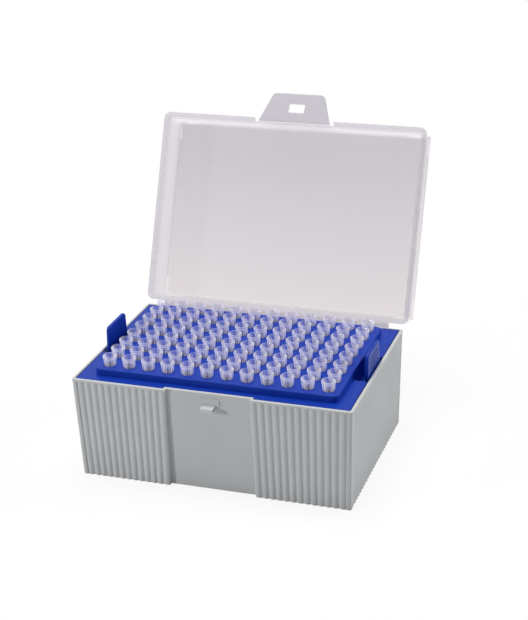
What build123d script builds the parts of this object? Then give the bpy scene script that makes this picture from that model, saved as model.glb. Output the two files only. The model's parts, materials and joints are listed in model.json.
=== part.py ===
"""Hinged box of 96 long 10 microlitre pipette tips, lid open. Millimetres, Z up.

Origin: on the table, under the middle of the base box. X runs along the box, Y to the hinge.
"""

import os
from itertools import pairwise
from math import copysign, cos, radians, sin, sqrt

from build123d import *

os.makedirs("parts", exist_ok=True)

# ---------------------------------------------------------------- driving dimensions, mm and degrees

# grid of tips
columns = 12
rows = 8
pitch = 9.0

# base box
base_length = 126.0
base_width = 87.0
base_height = 47.0
base_draft = 1.35  # how far each wall leans in from rim to foot
base_wall = 1.2
base_floor = 1.6
base_corner = 1.0
inner_corner = 0.6  # of the walls' inner faces and of the tray
lip_height = 1.0
lip_overhang = 0.1  # lip past the crests of the reeds
lip_round = 0.45
reed_pitch = 3.23
reed_depth = 0.5
groove_half = 0.5  # half the width of the hollow between two reeds
reed_end = 2.4  # plain land between the last reed and the corner
panel_offset = -0.6  # middle of the plain front panel
panel_half = 18.9  # half its width, at the rim
panel_flare = 0.8  # how much wider each half is at the foot
panel_depth = 1.65  # at the rim
panel_draft = 0.5  # how much deeper it is at the foot

# catch for the latch, on the front panel
catch_offset = -0.35
catch_width = 5.6
catch_reach = 3.75
catch_drop = 5.6  # rim to the top of the catch
catch_slope = 0.25  # fall of its top, from the panel to the nose
catch_nose = 1.4  # height of the nose
catch_rake = 0.35  # how much further out the nose is at its foot
plate_width = 8.8  # raised plate over the catch
plate_height = 3.2
plate_raise = 0.45

# ribs inside the base that carry the tray
carrier_thickness = 1.6
carrier_reach = 2.4
carrier_places = (-42.0, -28.0, 28.0, 42.0)  # along the front and back
carrier_side = 28.0  # and on the end walls

# tray
tray_gap = 0.45  # tray to rim, all round
tray_drop = 0.1  # rim to ledge
ledge_thickness = 1.6
deck_half_length = 55.0
deck_half_width = 37.1
deck_rise = 3.1
deck_corner = 3.0
deck_taper = 3.0  # degrees
deck_round = 0.5
deck_thickness = 1.8
tray_wall = 1.5
tray_skirt = 6.5  # skirt below the ledge
tip_hole = 4.7
stiffener = 1.2

# pull tabs and finger wells
tab_offset = -1.5
tab_foot_width = 20.0
tab_top_width = 18.2
tab_rise = 10.6  # above the ledge
tab_thickness = 1.55
tab_corner = 1.9
tab_round = 0.4
tab_left = -59.45  # middle of each tab's thickness
tab_right = 60.3
well_offset = -1.0
well_width = 25.5
well_depth = 6.4
grip_rows = 4
grip_marks = 6
grip_pitch = 2.15
grip_length = 1.0
grip_height = 1.2
grip_depth = 0.4
grip_middle = 4.3  # above the ledge

# tips
tip_length = 45.0
tip_stand = 4.5  # top of the tip above the deck
tip_ring_height = 1.1
tip_chamfer = 0.2
slot_height = 1.2  # open slots between the feet of the fins
fins = 8
fin_thickness = 0.7
tip_ring = 3.05  # radii from here
tip_mouth = 2.6
tip_lead = 2.15  # bore under the ring
tip_bore = 1.95  # bore where a pipette's cone seals
tip_shoulder = 2.6  # body under the ring
tip_foot = 2.4  # body over the slots
tip_collar = 2.15  # inside the fins' feet
fin_shoulder = 2.9
fin_foot = 2.62
tip_neck = 2.2  # in the hole of the deck
tip_shaft = (  # share of the length, then outer and inner radius as shares of the neck's radius
    (0.25, 0.9, 0.75),
    (0.55, 0.7, 0.55),
    (0.8, 0.43, 0.28),
)
tip_end = 0.42
tip_end_bore = 0.22

# lid
lid_gap = 0.2  # closed lid to base, running clearance
lid_wall = 1.2
skirt_wall = 1.1
skirt_depth = 1.7  # how far the lid comes down round the rim
rim_room = 0.65  # room in front of and behind the rim
flange_side = 1.1  # skirt past the lid's wall, at the ends
flange_front = 1.75  # at the latch
flange_back = 1.25  # and at the hinge
lid_depth = 19.2
lid_draft = 0.35
lid_corner = 3.0
lid_inner_round = 1.5
lid_open = 113.35  # opening angle from closed
stack_leg = 8.0
stack_width = 0.8
stack_height = 0.8

# lid hinge: the lid folds along the top edge of a strip clipped to the base
hinge_reach = 1.2  # axis behind the closed lid's skirt
hinge_rise = 1.3  # axis above the skirt's lower edge
hinge_bead = 0.55  # radius
hinge_gap = 0.2
strip_half = 55.3
strip_wall = 1.2
strip_web = 0.6
fin_wall = 0.9  # fin on the lid that turns round the bead
strip_height = 6.4
strip_drop = 2.4  # rim to the top of the strip's plate
clip_width = 8.0
clip_height = 1.6
clip_gap = 0.3
clip_hook = 0.8  # how far each clip stands out of the strip
pad_depth = 0.1  # flat back band behind the hollows of the reeds
clip_places = (-45.0, -20.0, 20.0, 45.0)

# latch flap
flap_length = 14.3
flap_root = 17.35  # half widths
flap_tip = 12.5
flap_corner = 2.5
flap_thickness = 0.9
flap_offset = 0.5
flap_up = 17.0  # how far the flap leans back past the lid, standing up
flap_gap = 0.2
flap_axis_depth = 0.3  # axis past the end of the lid's wall
flap_tuck = 9.5  # how far the closed flap leans in towards the panel
flap_notch = 2.2
window_width = 7.8
window_height = 4.6
window_start = 4.6

# ---------------------------------------------------------------- worked out from them

half_length = base_length / 2
half_width = base_width / 2
ledge_top = base_height - tray_drop
tray_seat = ledge_top - ledge_thickness
deck_top = ledge_top + deck_rise
tips_top = deck_top + tip_stand
lid_length = base_length + 2 * (lid_gap + skirt_wall)
lid_width = base_width + 2 * (rim_room + skirt_wall)


def lean_in(height):
    """How far the base's walls have leaned in at a height."""
    return base_draft * (1 - height / base_height)


def panel_side(height):
    """Half the width of the front panel at a height."""
    return panel_half + panel_flare * (1 - height / base_height)


def panel_in(height):
    """How far the front panel lies behind the wall's face at a height."""
    return panel_depth + panel_draft * (1 - height / base_height)


def wall_plan(height, inset, corner):
    """Plan of the base at a height, moved inwards by `inset`: a rectangle with the front panel's jog."""
    x = half_length - lean_in(height) - inset
    y = half_width - lean_in(height) - inset
    with BuildSketch(Plane.XY.offset(height)) as plan:
        Rectangle(2 * x, 2 * y)
        fillet(plan.vertices(), radius=corner)
        with Locations((panel_offset, -y)):
            Rectangle(2 * (panel_side(height) + inset), 2 * panel_in(height), mode=Mode.SUBTRACT)
    return plan.sketch


def reeded_plan(height):
    """Plan of the reeded wall at a height: reeds of equal width on every side, a plain panel in front."""
    x = half_length - lip_overhang - lean_in(height)
    y = half_width - lip_overhang - lean_in(height)
    left, right = panel_offset - panel_side(height), panel_offset + panel_side(height)
    front_reeds = round((half_length - reed_end - panel_half) / reed_pitch)
    side_reeds = round(2 * (half_width - reed_end) / reed_pitch)
    back_reeds = round(2 * (half_length - reed_end) / reed_pitch)
    crest = {0: y, 1: x, 2: y, 3: x}

    def at(side, along, out):
        """Point on one side, from the front anticlockwise: along it from its middle, and outwards."""
        return {0: (along, -out), 1: (out, along), 2: (-along, out), 3: (-out, -along)}[side]

    def reeds(side, start, end, count):
        """Rounded reeds from start to end, with hollows between them that run smoothly into the reeds."""
        edges = [start + (end - start) * i / count for i in range(count + 1)]
        top = crest[side]
        foot = top - reed_depth
        join = foot + reed_depth * groove_half / ((edges[1] - edges[0]) / 2)
        for i, (a, b) in enumerate(pairwise(edges)):
            rise = at(side, a + groove_half, join) if i > 0 else at(side, a, foot)
            fall = at(side, b - groove_half, join) if i < count - 1 else at(side, b, foot)
            ThreePointArc(rise, at(side, (a + b) / 2, top), fall)
            if i < count - 1:
                ThreePointArc(fall, at(side, b, foot), at(side, b + groove_half, join))

    def corner(side):
        """Plain land and rounded corner between the reeds of one side and of the next."""
        after = (side + 1) % 4
        cut = base_corner * (1 - sqrt(0.5))
        land = reed_end - reed_depth
        first = at(side, crest[after] - base_corner, crest[side])
        last = at(after, base_corner - crest[side], crest[after])
        land_start = at(side, crest[after] - land, crest[side])
        land_end = at(after, land - crest[side], crest[after])
        Polyline(at(side, crest[after] - reed_end, crest[side] - reed_depth), land_start, first)
        ThreePointArc(first, at(side, crest[after] - cut, crest[side] - cut), last)
        Polyline(last, land_end, at(after, reed_end - crest[side], crest[after] - reed_depth))

    floor_line = y + lip_overhang - panel_in(height)
    with BuildSketch(Plane.XY.offset(height)) as plan:
        with BuildLine():
            Line((left, -floor_line), (right, -floor_line))
            Line((right, -floor_line), at(0, right, y - reed_depth))
            reeds(0, right, x - reed_end, front_reeds)
            corner(0)
            reeds(1, reed_end - y, y - reed_end, side_reeds)
            corner(1)
            reeds(2, reed_end - x, x - reed_end, back_reeds)
            corner(2)
            reeds(3, reed_end - y, y - reed_end, side_reeds)
            corner(3)
            reeds(0, reed_end - x, left, front_reeds)
            Line(at(0, left, y - reed_depth), (left, -floor_line))
        make_face()
    return plan.sketch


# ---------------------------------------------------------------- base box

catch_top = base_height - catch_drop
catch_foot = catch_top - catch_slope - catch_nose
panel_at_catch = half_width - lean_in(catch_top) - panel_in(catch_top)  # front panel's face, over the catch
catch_front = panel_at_catch + catch_reach
strip_top = base_height - strip_drop
strip_bottom = strip_top - strip_height
pad = half_width - lip_overhang - reed_depth - pad_depth  # flat back band that carries the hinge strip
clip_top = (strip_top + strip_bottom) / 2 + clip_height / 2
clip_reach = strip_wall + clip_hook

with BuildPart() as inside:
    loft(
        [
            wall_plan(base_floor, base_wall, inner_corner),
            wall_plan(base_height, base_wall, inner_corner),
        ],
        ruled=True,
    )
    # ribs left standing on the walls, to carry the tray
    with BuildSketch(Plane.XY.offset(tray_seat)):
        for x in carrier_places:
            with Locations((x, half_width - base_wall), (x, base_wall - half_width)):
                Rectangle(carrier_thickness, 2 * carrier_reach)
        for y in (-carrier_side, carrier_side):
            with Locations((half_length - base_wall, y), (base_wall - half_length, y)):
                Rectangle(2 * carrier_reach, carrier_thickness)
    extrude(amount=-tray_seat, mode=Mode.SUBTRACT)

with BuildPart() as base_box:
    loft([reeded_plan(0), reeded_plan(base_height - lip_height)], ruled=True)
    extrude(wall_plan(base_height, 0, base_corner), amount=-lip_height)
    fillet(base_box.faces().sort_by(Axis.Z)[-1].edges(), radius=lip_round)
    # catch: a hooked nose on the front panel
    with BuildSketch(Plane.YZ.offset(catch_offset)):
        with BuildLine():
            Polyline(
                (-panel_at_catch + base_wall / 2, catch_top),
                (-panel_at_catch, catch_top),
                (-catch_front, catch_top - catch_slope),
                (-catch_front - catch_rake, catch_foot),
                (-panel_at_catch + base_wall / 2, catch_foot),
                close=True,
            )
        make_face()
    extrude(amount=catch_width / 2, both=True)
    # raised plate over the catch
    with BuildSketch(Plane.XZ.offset(panel_at_catch - base_wall / 2)):
        with Locations((0, catch_top + plate_height / 2)):
            Rectangle(plate_width, plate_height)
    extrude(amount=base_wall / 2 + plate_raise)
    # plain band on the back for the hinge strip, with its clips
    with BuildSketch(Plane.XZ.offset(-pad)):
        with Locations((0, (strip_bottom - clip_gap + base_height - lip_height) / 2)):
            Rectangle(2 * (strip_half + clip_gap), base_height - lip_height - strip_bottom + clip_gap)
    extrude(amount=-2 * base_wall, mode=Mode.SUBTRACT)
    for place in clip_places:
        with BuildSketch(Plane.YZ.offset(place)):
            with BuildLine():
                Polyline(
                    (pad - reed_depth, clip_top),
                    (pad, clip_top),
                    (pad + clip_reach, clip_top - clip_height / 2),
                    (pad + clip_reach, clip_top - clip_height),
                    (pad - reed_depth, clip_top - clip_height),
                    close=True,
                )
            make_face()
        extrude(amount=clip_width / 2, both=True)
    add(inside.part, mode=Mode.SUBTRACT)

base_box.part.label = "base_box"
export_step(base_box.part, "parts/base_box.step")

# ---------------------------------------------------------------- tray

well_floor = ledge_top - well_depth
skirt_bottom = tray_seat - tray_skirt
hole_grid = {"x_spacing": pitch, "y_spacing": pitch, "x_count": columns, "y_count": rows}

with BuildPart() as pull_tab:
    with BuildSketch(Plane.YZ) as tab:
        with BuildLine():
            Polyline(
                (-tab_foot_width / 2, -well_depth - tray_wall),
                (tab_foot_width / 2, -well_depth - tray_wall),
                (tab_foot_width / 2, 0),
                (tab_top_width / 2, tab_rise),
                (-tab_top_width / 2, tab_rise),
                (-tab_foot_width / 2, 0),
                close=True,
            )
        make_face()
        fillet(tab.vertices().group_by(Axis.Z)[-1], radius=tab_corner)
    extrude(amount=tab_thickness / 2, both=True)
    tab_faces = pull_tab.faces().sort_by(Axis.X)
    fillet(tab_faces[0].edges() + tab_faces[-1].edges(), radius=tab_round)
    # rows of small sunk grip marks on the outer face
    with BuildSketch(Plane.YZ.offset(tab_thickness / 2)):
        with Locations((0, grip_middle)):
            with GridLocations(grip_pitch, grip_pitch, grip_marks, grip_rows):
                Rectangle(grip_length, grip_height)
    extrude(amount=-grip_depth, mode=Mode.SUBTRACT)

with BuildPart() as tip_tray:
    extrude(wall_plan(tray_seat, base_wall + tray_gap, inner_corner), amount=ledge_thickness)
    # raised deck, hollow below, with its walls carried down as a skirt
    with BuildSketch(Plane.XY.offset(tray_seat)):
        RectangleRounded(2 * deck_half_length, 2 * deck_half_width, deck_corner)
    extrude(amount=ledge_thickness)
    with BuildSketch(Plane.XY.offset(ledge_top)):
        RectangleRounded(2 * deck_half_length, 2 * deck_half_width, deck_corner)
    extrude(amount=deck_rise, taper=deck_taper)
    fillet(tip_tray.faces().sort_by(Axis.Z)[-1].edges(), radius=deck_round)
    with BuildSketch(Plane.XY.offset(skirt_bottom)):
        RectangleRounded(2 * deck_half_length, 2 * deck_half_width, deck_corner)
    extrude(amount=tray_skirt)
    with BuildSketch(Plane.XY.offset(skirt_bottom)):
        RectangleRounded(
            2 * (deck_half_length - tray_wall), 2 * (deck_half_width - tray_wall), deck_corner - tray_wall
        )
    extrude(amount=deck_top - deck_thickness - skirt_bottom, mode=Mode.SUBTRACT)
    # stiffeners under the deck, between the columns of tips
    with BuildSketch(Plane.XY.offset(skirt_bottom)):
        with GridLocations(3 * pitch, 1, columns // 3 - 1, 1):
            Rectangle(stiffener, 2 * deck_half_width - tray_wall)
    extrude(amount=deck_top - deck_thickness / 2 - skirt_bottom)
    # finger wells at both ends, each with a pull tab as its outer wall
    for tab_place, turn in ((tab_left, 180), (tab_right, 0)):
        end = copysign(1, tab_place)
        well_length = abs(tab_place) - deck_half_length
        with BuildSketch(Plane.XY.offset(well_floor - tray_wall)):
            with Locations((tab_place - end * well_length / 2, well_offset)):
                Rectangle(well_length, well_width + 2 * tray_wall)
        extrude(amount=tray_seat - well_floor + tray_wall)
        with BuildSketch(Plane.XY.offset(well_floor)):
            with Locations((end * (deck_half_length + half_length) / 2, well_offset)):
                Rectangle(half_length - deck_half_length, well_width)
        extrude(amount=ledge_top - well_floor, mode=Mode.SUBTRACT)
        with Locations(Location((tab_place, tab_offset, ledge_top), (0, 0, turn))):
            add(pull_tab.part)
    # holes for the tips
    with BuildSketch(Plane.XY.offset(deck_top)):
        with GridLocations(**hole_grid):
            Circle(tip_hole / 2)
    extrude(amount=-deck_thickness, mode=Mode.SUBTRACT)

tip_tray.part.label = "tip_tray"
export_step(tip_tray.part, "parts/tip_tray.step")

# ---------------------------------------------------------------- tips

slot_top = slot_height - tip_stand

with BuildPart() as fin:
    with BuildSketch(Plane.XZ):
        with BuildLine():
            Polyline(
                (tip_lead + tip_chamfer, -tip_ring_height),
                (fin_shoulder, -tip_ring_height),
                (fin_foot, tip_chamfer - tip_stand),
                (fin_foot - tip_chamfer, -tip_stand),
                (tip_collar - tip_chamfer, -tip_stand),
                close=True,
            )
        make_face()
    extrude(amount=fin_thickness / 2, both=True)

with BuildPart() as tip:
    with BuildSketch(Plane.XZ):
        with BuildLine():
            Polyline(
                (tip_mouth, 0),
                (tip_ring - tip_chamfer, 0),
                (tip_ring, -tip_chamfer),
                (tip_ring, tip_chamfer - tip_ring_height),
                (tip_shoulder, -tip_ring_height - tip_chamfer),
                (tip_foot, slot_top),
                (tip_collar, slot_top),
                (tip_collar, -tip_stand),
                (tip_neck, -tip_stand),
                *[(outer * tip_neck, -share * tip_length) for share, outer, inner in tip_shaft],
                (tip_end, -tip_length),
                (tip_end_bore, -tip_length),
                *[(inner * tip_neck, -share * tip_length) for share, outer, inner in reversed(tip_shaft)],
                (tip_bore, -tip_stand / 2),
                (tip_lead, -tip_ring_height),
                close=True,
            )
        make_face()
    revolve(axis=Axis.Z)
    with PolarLocations(0, fins):
        add(fin.part)

for column in range(columns):
    with BuildPart() as tips_column:
        with Locations(((column - (columns - 1) / 2) * pitch, 0, tips_top)):
            with GridLocations(pitch, pitch, 1, rows):
                add(tip.part)
    tips_column.part.label = f"tips_column_{column + 1:02d}"
    export_step(tips_column.part, f"parts/tips_column_{column + 1:02d}.step")

# ---------------------------------------------------------------- lid, leaning back on its hinge

lean = radians(lid_open - 90)
lid_up = Vector(0, sin(lean), cos(lean))  # from the hinge side to the latch side
lid_back = Vector(0, cos(lean), -sin(lean))  # from the rim to the top plate
closed_rim = base_height + lid_gap - skirt_depth  # height of the closed lid's lower edge
hinge_axis = Vector(0, lid_width / 2 + hinge_reach, closed_rim + hinge_rise)
rim_edge = hinge_axis + lid_up * hinge_reach - lid_back * hinge_rise
lid_frame = Plane(origin=rim_edge, x_dir=(1, 0, 0), z_dir=lid_back * -1)  # Y up the lid, Z out of its mouth
middle = lid_width / 2
body_middle = (lid_width + flange_back - flange_front) / 2
ledge_ring = skirt_depth + lid_wall  # depth of the stepped rim
body_half_length = lid_length / 2 - flange_side
body_half_width = (lid_width - flange_back - flange_front) / 2
notch_half = flap_root + flap_notch


def rim_plan(depth, inset):
    """Plan of the lid's stepped rim at a depth, moved inwards by `inset`."""
    with BuildSketch(lid_frame.offset(-depth)) as plan:
        with Locations((0, middle)):
            RectangleRounded(lid_length - 2 * inset, lid_width - 2 * inset, lid_corner - inset)
    return plan.sketch


def body_plan(depth, inset, wall):
    """Plan of the lid's body at a depth, moved inwards by `inset`, outside or inside its `wall`."""
    with BuildSketch(lid_frame.offset(-depth)) as plan:
        with Locations((0, body_middle)):
            half_x = body_half_length - inset - wall
            half_y = body_half_width - inset - wall
            RectangleRounded(2 * half_x, 2 * half_y, lid_corner - wall)
    return plan.sketch


with BuildPart() as lid_room:
    loft([body_plan(0, 0, lid_wall), body_plan(lid_depth - lid_wall, lid_draft, lid_wall)], ruled=True)
    fillet(lid_room.faces().sort_by(Axis(rim_edge, lid_back))[-1].edges(), radius=lid_inner_round)

with BuildPart() as lid:
    extrude(rim_plan(0, 0), amount=-ledge_ring)
    loft([body_plan(skirt_depth, 0, 0), body_plan(lid_depth, lid_draft, 0)], ruled=True)
    fillet(lid.faces().sort_by(Axis(rim_edge, lid_back))[-1].edges(), radius=lid_wall)
    # rebate that goes round the base's rim
    extrude(rim_plan(0, skirt_wall), amount=-skirt_depth, mode=Mode.SUBTRACT)
    add(lid_room.part, mode=Mode.SUBTRACT)
    # the skirt stops on each side of the latch flap
    with BuildSketch(lid_frame):
        with Locations((flap_offset, lid_width - flange_front / 2)):
            Rectangle(2 * notch_half, flange_front)
    extrude(amount=-ledge_ring, mode=Mode.SUBTRACT)
    # L-shaped ribs that locate the box stacked on top
    stack_x = half_length - base_draft + lid_gap
    stack_y = half_width - base_draft + lid_gap
    with BuildSketch(lid_frame.offset(lid_wall / 2 - lid_depth)):
        for i in (-1, 1):
            for j in (-1, 1):
                leg_x = stack_x + (stack_width - stack_leg) / 2
                with Locations((i * leg_x, middle + j * (stack_y + stack_width / 2))):
                    Rectangle(stack_leg + stack_width, stack_width)
                with Locations((i * (stack_x + stack_width / 2), middle + j * (stack_y - stack_leg / 2))):
                    Rectangle(stack_width, stack_leg)
    extrude(amount=-lid_wall / 2 - stack_height)
    # hinge edge: a fin with a hollow end that turns round the strip's bead
    with BuildSketch(Plane(origin=rim_edge, x_dir=lid_up, z_dir=(1, 0, 0))):
        with Locations(((skirt_wall / 2 - hinge_reach) / 2, -hinge_rise)):
            Rectangle(skirt_wall / 2 + hinge_reach, fin_wall)
        with Locations((-hinge_reach, -hinge_rise)):
            Circle(hinge_bead + hinge_gap, mode=Mode.SUBTRACT)
    extrude(amount=strip_half, both=True)

lid.part.label = "lid"
export_step(lid.part, "parts/lid.step")

# ---------------------------------------------------------------- hinge strip, clipped to the base

with BuildPart() as hinge_strip:
    with BuildSketch(Plane.YZ):
        with BuildLine():
            Polyline(
                (pad, strip_bottom),
                (pad + strip_wall, strip_bottom),
                (pad + strip_wall, strip_top - strip_web),
                (hinge_axis.Y + strip_web / 2, strip_top - strip_web),
                (hinge_axis.Y + strip_web / 2, hinge_axis.Z),
                (hinge_axis.Y - strip_web / 2, hinge_axis.Z),
                (hinge_axis.Y - strip_web / 2, strip_top),
                (pad, strip_top),
                close=True,
            )
        make_face()
        with Locations((hinge_axis.Y, hinge_axis.Z)):
            Circle(hinge_bead)
    extrude(amount=strip_half, both=True)
    with BuildSketch(Plane.XZ.offset(-pad)):
        with Locations(*[(place, clip_top - clip_height / 2) for place in clip_places]):
            Rectangle(clip_width + 2 * clip_gap, clip_height + 2 * clip_gap)
    extrude(amount=-strip_wall, mode=Mode.SUBTRACT)

hinge_strip.part.label = "hinge_strip"
export_step(hinge_strip.part, "parts/hinge_strip.step")

# ---------------------------------------------------------------- latch flap, standing up

flap_up_lid = lid_width - flange_front + flap_gap + flap_thickness / 2
flap_axis = rim_edge + lid_up * flap_up_lid + lid_back * (skirt_depth + flap_axis_depth)
flap_way = lid_up * cos(radians(flap_up)) + lid_back * sin(radians(flap_up))
flap_frame = Plane(origin=flap_axis, x_dir=(1, 0, 0), z_dir=Vector(1, 0, 0).cross(flap_way))

with BuildPart() as latch_flap:
    with BuildSketch(flap_frame) as flap_plan:
        with BuildLine():
            Polyline(
                (flap_offset - flap_root, 0),
                (flap_offset + flap_root, 0),
                (flap_offset + flap_tip, flap_length),
                (flap_offset - flap_tip, flap_length),
                close=True,
            )
        make_face()
        fillet(flap_plan.vertices().sort_by(Axis.Y)[-2:], radius=flap_corner)
        with Locations((flap_offset, window_start + window_height / 2)):
            Rectangle(window_width, window_height, mode=Mode.SUBTRACT)
    extrude(amount=flap_thickness / 2, both=True)
    with BuildSketch(Plane(origin=flap_axis, x_dir=flap_way, z_dir=(1, 0, 0)).offset(flap_offset)):
        Circle(flap_thickness / 2)
    extrude(amount=flap_root, both=True)

latch_flap.part.label = "latch_flap"
export_step(latch_flap.part, "parts/latch_flap.step")

print("lid hinge axis", hinge_axis, "opens to", lid_open)
print("latch hinge axis", flap_axis, "folds by", flap_up + 90 + flap_tuck)
print("tray seat", tray_seat, "deck", deck_top, "tips", tips_top, "well floor", well_floor, "pad", pad)
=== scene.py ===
# %% [markdown]
# # A hinged box of pipette tips
# The object is a laboratory box: a grey ribbed base, a blue tray with 96 clear tips in it, and a clear lid
# that leans back on its hinge. This lesson dresses it: it sets the camera, the light and the finishes.

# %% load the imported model
import json

import bpy
import numpy as np
from mathutils import Matrix, Vector

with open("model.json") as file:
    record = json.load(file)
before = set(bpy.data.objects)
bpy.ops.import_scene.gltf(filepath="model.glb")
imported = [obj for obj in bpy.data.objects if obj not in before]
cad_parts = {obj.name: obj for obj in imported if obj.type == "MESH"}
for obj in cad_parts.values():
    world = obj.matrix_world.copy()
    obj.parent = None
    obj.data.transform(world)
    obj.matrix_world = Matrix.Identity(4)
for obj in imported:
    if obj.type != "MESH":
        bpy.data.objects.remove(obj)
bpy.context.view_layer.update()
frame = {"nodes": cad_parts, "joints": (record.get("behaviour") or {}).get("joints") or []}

nodes = frame["nodes"]

# %% [markdown]
# ## Camera
# The box is looked at from in front, a little from the right and from above, with a long lens, so that its
# edges hardly run together. The camera is described as it would be set up in a studio: the point it looks
# at, its angles round that point, its distance and its focal length.

# %% camera
look_at = Vector((0.00552, 0.01624, 0.06177))
azimuth, elevation, roll = np.radians([19.23, 23.04, -1.965])
distance = 0.68517
focal_length = 88.64  # mm
sensor_side = 36  # mm, the long side of the sensor

ahead = Vector(
    (-np.sin(azimuth) * np.cos(elevation), np.cos(azimuth) * np.cos(elevation), -np.sin(elevation))
)
level = Vector((np.cos(azimuth), np.sin(azimuth), 0))
upright = level.cross(ahead)
right = level * np.cos(roll) + upright * np.sin(roll)
up = upright * np.cos(roll) - level * np.sin(roll)
turn = Matrix((right, up, -ahead)).transposed().to_4x4()

camera = bpy.data.objects.new("camera", bpy.data.cameras.new("camera"))
camera.data.lens = focal_length
camera.data.sensor_width = sensor_side
camera.matrix_world = Matrix.Translation(look_at - ahead * distance) @ turn
bpy.context.scene.collection.objects.link(camera)
bpy.context.scene.camera = camera
print("camera at", tuple(round(c, 4) for c in camera.location))

# %% [markdown]
# ## One function for every node
# A material is a small graph. Each node has a kind, some settings and some links that feed it, and that is
# all this function does, so the graphs below read like lists of ingredients.

# %% node helper and colours
def add_node(tree, kind, settings=None, **inputs):
    """Adds a node. `settings` are its attributes; `inputs` are values, or sockets that are linked.

    An input's name is its socket's name with _ for a space, or in_0, in_1 and so on for its place.
    """
    node = tree.nodes.new(kind)
    for name, value in (settings or {}).items():
        setattr(node, name, value)
    for name, value in inputs.items():
        place = name.removeprefix("in_")
        socket = node.inputs[int(place)] if place.isdigit() else node.inputs[name.replace("_", " ")]
        if isinstance(value, bpy.types.NodeSocket):
            tree.links.new(value, socket)
        else:
            socket.default_value = value
    return node


def linear(code):
    """Linear RGBA of an sRGB hex colour: c/12.92 below 0.04045, otherwise ((c + 0.055)/1.055) to the 2.4."""
    channels = np.array([int(code[i : i + 2], 16) for i in (1, 3, 5)]) / 255
    low, high = channels / 12.92, ((channels + 0.055) / 1.055) ** 2.4
    return (*np.where(channels <= 0.04045, low, high).tolist(), 1.0)


def new_material(name):
    """An empty material with its node tree, and the Object coordinates in metres."""
    material = bpy.data.materials.new(name)
    material.use_nodes = True
    tree = material.node_tree
    tree.nodes.clear()
    place = add_node(tree, "ShaderNodeTexCoord").outputs["Object"]
    return material, tree, place


print("middle grey, #808080, is", round(linear("#808080")[0], 3), "in linear light")

# %% [markdown]
# ## Polypropylene with a pigment
# The base and the tray are moulded from the same plastic with different pigments. Filled polypropylene is
# slightly cloudy, which a wide noise gives: it wanders between two close shades. The mould's surface is
# left on the part as a fine relief, and a second noise of the relief's real size bends the normals.

# %% pigmented polypropylene
MM = 0.001
IOR = 1.49  # of polypropylene


def pigmented_plastic(
    name, shades, cloud_size, relief_size, relief_roughness, relief_height, strength, roughness, specular
):
    """An opaque moulded plastic, with sizes in metres.

    Its colour is mixed from the two `shades` by a noise of `cloud_size`. Its normals are bent by a noise of
    `relief_size` and `relief_roughness`, as a relief of `relief_height` would bend them, times `strength`.
    """
    material, tree, place = new_material(name)
    relief = add_node(
        tree,
        "ShaderNodeTexNoise",
        Vector=place,
        Scale=1 / relief_size,
        Detail=2.0,
        Roughness=relief_roughness,
    )
    cloud = add_node(
        tree, "ShaderNodeTexNoise", Vector=place, Scale=1 / cloud_size, Detail=3.0, Roughness=0.5
    )
    tone = add_node(
        tree,
        "ShaderNodeMix",
        {"data_type": "RGBA"},
        Factor=cloud.outputs["Fac"],
        in_6=linear(shades[0]),
        in_7=linear(shades[1]),
    )
    bump = add_node(
        tree, "ShaderNodeBump", Height=relief.outputs["Fac"], Strength=strength, Distance=relief_height
    )
    surface = add_node(
        tree,
        "ShaderNodeBsdfPrincipled",
        Base_Color=tone.outputs[2],
        Roughness=roughness,
        IOR=IOR,
        Specular_IOR_Level=specular,
        Normal=bump.outputs["Normal"],
    )
    add_node(tree, "ShaderNodeOutputMaterial", Surface=surface.outputs[0])
    return material


def dress(name, material):
    """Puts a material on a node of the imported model."""
    nodes[name].material_slots[0].material = material
    print(name, "is dressed in", material.name)


# %% [markdown]
# ## The base
# The base is grey, from a mould whose faces were spark eroded. That leaves an even, very fine grain, a
# little under half a millimetre wide, and it takes the shine off.

# %% the base
grey_plastic = pigmented_plastic(
    "grey_polypropylene_spark_eroded",
    shades=("#c8cbcd", "#d2d4d6"),
    cloud_size=14 * MM,
    relief_size=0.45 * MM,
    relief_roughness=0.6,
    relief_height=0.02 * MM,
    strength=0.25,
    roughness=0.5,
    specular=0.35,
)
dress("base_box", grey_plastic)

# %% [markdown]
# ## The tray
# The tray is blue, from a polished mould, so it has no grain. Polypropylene shrinks as it cools, and that
# leaves the skin very slightly rippled, in ripples of about two millimetres.

# %% the tray
blue_plastic = pigmented_plastic(
    "blue_polypropylene_polished",
    shades=("#0f36a0", "#133dae"),
    cloud_size=9 * MM,
    relief_size=2.2 * MM,
    relief_roughness=0.5,
    relief_height=0.05 * MM,
    strength=0.2,
    roughness=0.4,
    specular=0.15,
)
dress("tip_tray", blue_plastic)

# %% [markdown]
# ## Clear polypropylene
# Polypropylene without pigment is never as clear as glass: its crystals scatter part of the light. Its walls
# here are about a millimetre thin, so what is seen through them hardly shifts. Each surface therefore lets
# most light straight through, tinted a little, and scatters the rest like white plastic. A wall seen edge on
# is a longer way through the plastic, so there the scattered share grows, as it does in a real one.

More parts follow.
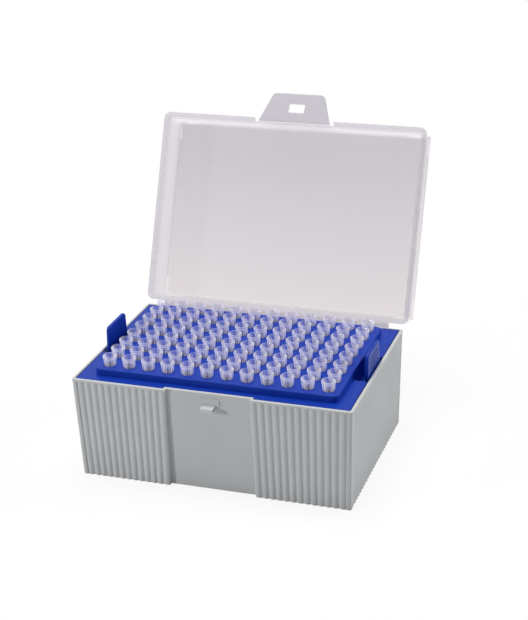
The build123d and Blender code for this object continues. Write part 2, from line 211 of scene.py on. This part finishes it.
# %% clear polypropylene
def clear_plastic(name, tint, milk, facing, edge_on, roughness, bent=0.0):
    """A thin wall of clear plastic. `tint`, `milk`, `facing` and `edge_on` are functions of tree and place.

    `tint` colours the light that goes straight through and `milk` the light that is scattered. `facing` and
    `edge_on` are the shares of light scattered where the wall faces the eye and where it turns away; the
    share between them goes with the angle. `bent` is how much of the scattered light is bent as in glass,
    and the rest is scattered half forwards and half back.
    """
    material, tree, place = new_material(name)
    through = add_node(tree, "ShaderNodeBsdfTransparent", Color=tint(tree, place))
    white = milk(tree, place)
    flat = add_node(tree, "ShaderNodeNewGeometry").outputs["True Normal"]
    front = add_node(
        tree,
        "ShaderNodeBsdfPrincipled",
        Base_Color=white,
        Roughness=roughness,
        IOR=IOR,
        Transmission_Weight=bent,
        Normal=flat,
    )
    back = add_node(tree, "ShaderNodeBsdfTranslucent", Color=white, Normal=flat)
    scatter = add_node(
        tree, "ShaderNodeMixShader", Fac=0.5 * (1 - bent), in_1=front.outputs[0], in_2=back.outputs[0]
    )
    angle = add_node(tree, "ShaderNodeLayerWeight", Blend=0.5, Normal=flat).outputs["Facing"]
    share = add_node(
        tree, "ShaderNodeMapRange", Value=angle, To_Min=facing(tree, place), To_Max=edge_on(tree, place)
    )
    mix = add_node(
        tree, "ShaderNodeMixShader", Fac=share.outputs[0], in_1=through.outputs[0], in_2=scatter.outputs[0]
    )
    add_node(tree, "ShaderNodeOutputMaterial", Surface=mix.outputs[0])
    return material


def plain(value):
    """The same colour, or the same share, everywhere."""
    return lambda tree, place: linear(value) if isinstance(value, str) else value


# %% [markdown]
# ## How the lid lies
# The lid's finish follows its depth, from its mouth to its top plate, so the lid is measured first. It leans
# back by as much as its hinge turns past a right angle, and its mouth is where its mesh begins.

# %% the lid's directions and its mouth
lid_hinge = next(joint for joint in frame["joints"] if joint["child"] == "lid")
lean = np.radians(lid_hinge["range_deg"][1] - 90)
lid_back = (0.0, np.cos(lean), -np.sin(lean))  # from the lid's mouth to its plate
lid_up = (0.0, np.sin(lean), np.cos(lean))  # from the hinge to the latch
lid_mesh = nodes["lid"].data
lid_points = np.empty(3 * len(lid_mesh.vertices), dtype=np.float32)
lid_mesh.vertices.foreach_get("co", lid_points)
mouth = float((lid_points.reshape(-1, 3) @ lid_back).min())
print("the lid leans back by", round(float(np.degrees(lean)), 2), "degrees")
print("its mouth lies", round(mouth / MM, 2), "mm from the origin")

# %% [markdown]
# ## The lid
# How milky the lid is goes with its depth, from its mouth to its plate. The short walls are the whitest:
# that is painted light, for the light that real walls catch and let through. The rim is a little less white,
# and the wide plate greys towards its far edge. The ribs for the box stacked on top stand behind the plate,
# and they are left
# white enough to show: a painted highlight, for the light that real ribs bend.

# %% the lid
RIM_DEPTH = 2.9 * MM
PLATE_DEPTH = 17.8 * MM
RIB_DEPTH = 19.25 * MM
FIRM = 0.2 * MM  # half the width of the step from one tint to the next
SOFT = 4.0 * MM  # how far the plate's tint reaches into the walls
LIGHT_END, GREY_END = 65 * MM, 150 * MM  # the plate greys between them, along lid_up


def along(tree, place, way):
    """Distance of a point from the origin along a direction, in metres."""
    dot = add_node(tree, "ShaderNodeVectorMath", {"operation": "DOT_PRODUCT"}, in_0=place, in_1=way)
    return dot.outputs["Value"]


def blend(tree, value, low, high, below, above):
    """Goes from one colour to another while `value` goes from `low` to `high`."""
    share = add_node(tree, "ShaderNodeMapRange", Value=value, From_Min=low, From_Max=high)
    mix = add_node(
        tree, "ShaderNodeMix", {"data_type": "RGBA"}, Factor=share.outputs[0], in_6=below, in_7=above
    )
    return mix.outputs[2]


def lid_tint(tree, place):
    """A pale rim, near-white walls as painted light, a plate greying towards the latch, white ribs as a
    painted highlight.
    """
    depth = along(tree, place, lid_back)
    height = along(tree, place, lid_up)
    rim_edge, plate_edge, rib_edge = mouth + RIM_DEPTH, mouth + PLATE_DEPTH, mouth + RIB_DEPTH
    plate = blend(tree, height, LIGHT_END, GREY_END, linear("#f5f1f2"), linear("#e2dfe3"))
    # The walls' near-white tint is painted light: it stands in for the light that real walls catch and let
    # through.
    tint = blend(tree, depth, rim_edge - FIRM, rim_edge + FIRM, linear("#f0eef1"), linear("#f6f5f6"))
    tint = blend(tree, depth, plate_edge - SOFT, plate_edge + FIRM, tint, plate)
    # The ribs are a painted highlight: untinted and scattering nothing, they show white, for the light that
    # real ribs bend.
    return blend(tree, depth, rib_edge - FIRM, rib_edge + FIRM, tint, linear("#ffffff"))


def lid_share(rim, walls, plate):
    """A share for the rim, the walls and the plate. The ribs behind the plate scatter nothing, so they show
    the white room, a painted highlight.
    """

    def share(tree, place):
        depth = along(tree, place, lid_back)
        value = rim
        for edge, beyond in ((RIM_DEPTH, walls), (PLATE_DEPTH, plate), (RIB_DEPTH, 0.0)):
            value = add_node(
                tree,
                "ShaderNodeMapRange",
                Value=depth,
                From_Min=mouth + edge - FIRM,
                From_Max=mouth + edge + FIRM,
                To_Min=value,
                To_Max=beyond,
            ).outputs[0]
        return value

    return share


# The walls' small scattered shares let more of the white room through, which also paints them bright.
lid_plastic = clear_plastic(
    "clear_polypropylene_lid",
    tint=lid_tint,
    milk=plain("#f0ecf0"),
    facing=lid_share(rim=0.3, walls=0.18, plate=0.22),
    edge_on=lid_share(rim=0.5, walls=0.42, plate=0.5),
    roughness=0.12,
)
dress("lid", lid_plastic)

# %% [markdown]
# ## The flap and the hinge strip
# Both are moulded with the lid, of the same plastic. They are flat and even, so one tint does for each.

# %% the flap and the hinge strip
flap_plastic = clear_plastic(
    "clear_polypropylene_flap",
    tint=plain("#eceaee"),
    milk=plain("#e2dfe4"),
    facing=plain(0.3),
    edge_on=plain(0.5),
    roughness=0.2,
)
for name in ("latch_flap", "hinge_strip"):
    dress(name, flap_plastic)

# %% [markdown]
# ## The tips
# The tips have thinner walls than the lid, so they face the eye clearer, and their rings and fins, seen edge
# on, draw bright outlines.

# %% the tips
tip_plastic = clear_plastic(
    "clear_polypropylene_tips",
    tint=plain("#fbfaff"),
    milk=plain("#fdfcff"),
    facing=plain(0.08),
    edge_on=plain(0.95),
    roughness=0.05,
    bent=0.3,
)
for name in sorted(nodes):
    if name.startswith("tips_column"):
        dress(name, tip_plastic)

# %% [markdown]
# ## White surroundings
# The box stands on a plain white table in a white room. The camera, mirrors and clear plastic see them
# white, and everything else gets only the light that they would really give, so the box keeps its shadow
# and its colours. One helper tells the two kinds of ray apart, for the table and for the room.

# %% rays that see white
def seen_white(tree):
    """1 for the rays that show a background: to the camera, in reflections and through clear plastic."""
    rays = add_node(tree, "ShaderNodeLightPath").outputs
    larger = {"operation": "MAXIMUM"}
    seen = add_node(tree, "ShaderNodeMath", larger, in_0=rays["Is Camera Ray"], in_1=rays["Is Glossy Ray"])
    seen = add_node(tree, "ShaderNodeMath", larger, in_0=seen.outputs[0], in_1=rays["Is Transmission Ray"])
    return seen.outputs[0]


# %% [markdown]
# ## The table
# The table's top is one large flat face, so that its edge is never seen. Near the box it is a mix of plain
# white and of white cloth, which takes the shadow, and further out it goes over to plain white.

# %% the table's top
floor_half = 6.0
floor_mesh = bpy.data.meshes.new("floor")
corners = floor_half * np.array([(-1, -1, 0), (1, -1, 0), (1, 1, 0), (-1, 1, 0)])
floor_mesh.from_pydata(corners.tolist(), [], [(0, 1, 2, 3)])
floor = bpy.data.objects.new("floor", floor_mesh)
bpy.context.scene.collection.objects.link(floor)
print("the table's top is", 2 * floor_half, "m wide")

# %% the table's finish
floor_glow = 0.85  # share of plain white near the box, the rest is cloth
shadow_reach = 0.35  # from here on the table is plain white
floor_white, tree, place = new_material("floor_white")
seen = seen_white(tree)
tone = add_node(
    tree, "ShaderNodeMix", {"data_type": "RGBA"}, Factor=seen, in_6=linear("#d2d2d2"), in_7=linear("#ffffff")
)
cloth = add_node(tree, "ShaderNodeBsdfDiffuse", Color=tone.outputs[2])
glow = add_node(tree, "ShaderNodeEmission", Color=linear("#ffffff"), Strength=1.0)
reach = add_node(tree, "ShaderNodeVectorMath", {"operation": "LENGTH"}, in_0=place).outputs["Value"]
white = add_node(
    tree,
    "ShaderNodeMapRange",
    {"interpolation_type": "SMOOTHSTEP"},
    Value=reach,
    From_Min=shadow_reach / 2,
    From_Max=shadow_reach,
    To_Min=floor_glow,
    To_Max=1.0,
)
share = add_node(tree, "ShaderNodeMath", {"operation": "MULTIPLY"}, in_0=seen, in_1=white.outputs[0])
mix = add_node(
    tree, "ShaderNodeMixShader", Fac=share.outputs[0], in_1=cloth.outputs[0], in_2=glow.outputs[0]
)
add_node(tree, "ShaderNodeOutputMaterial", Surface=mix.outputs[0])
floor_mesh.materials.append(floor_white)
print("the table is plain white beyond", shadow_reach, "m from the box's middle")

# %% [markdown]
# ## The room
# The room is as white as the table where it is seen, and it gives only a little light of its own.

# %% world
room_light = 0.14
world = bpy.data.worlds.new("white_room")
bpy.context.scene.world = world
world.use_nodes = True
tree = world.node_tree
tree.nodes.clear()
strength = add_node(tree, "ShaderNodeMapRange", Value=seen_white(tree), To_Min=room_light, To_Max=1.0)
room = add_node(tree, "ShaderNodeBackground", Color=linear("#ffffff"), Strength=strength.outputs[0])
add_node(tree, "ShaderNodeOutputWorld", Surface=room.outputs[0])
print("the room gives", room_light, "of the light that it shows")

# %% [markdown]
# ## Lamps
# The main light is a large softbox above. A small lamp stands low in front on the left, and because it is
# small it throws crisp shadows: of the catch, and of the step where the reeds end. The third stands on the
# right and a little behind, where it lights the right side and leaves the front alone.

# %% lamps
def softbox(name, place, aim, size, watts):
    """A square area lamp of `size` metres at `place`, facing `aim`."""
    lamp = bpy.data.lights.new(name, "AREA")
    lamp.size = size
    lamp.energy = watts
    holder = bpy.data.objects.new(name, lamp)
    holder.location = place
    holder.rotation_euler = (Vector(aim) - Vector(place)).to_track_quat("-Z", "Y").to_euler()
    bpy.context.scene.collection.objects.link(holder)
    print(name, "gives", watts, "W at", round((Vector(aim) - Vector(place)).length, 2), "m")


box_middle = (0, 0, 0.03)
softbox("top_softbox", (-0.1, 0.1, 1.2), box_middle, size=0.8, watts=11.0)
softbox("left_lamp", (-0.68, -0.53, 0.27), box_middle, size=0.06, watts=2.6)
softbox("right_softbox", (1.1, 0.5, 0.5), box_middle, size=0.6, watts=6.0)

# %% [markdown]
# ## View
# The plain Standard view keeps the colours as they were chosen.

# %% view settings
bpy.context.scene.view_settings.view_transform = "Standard"
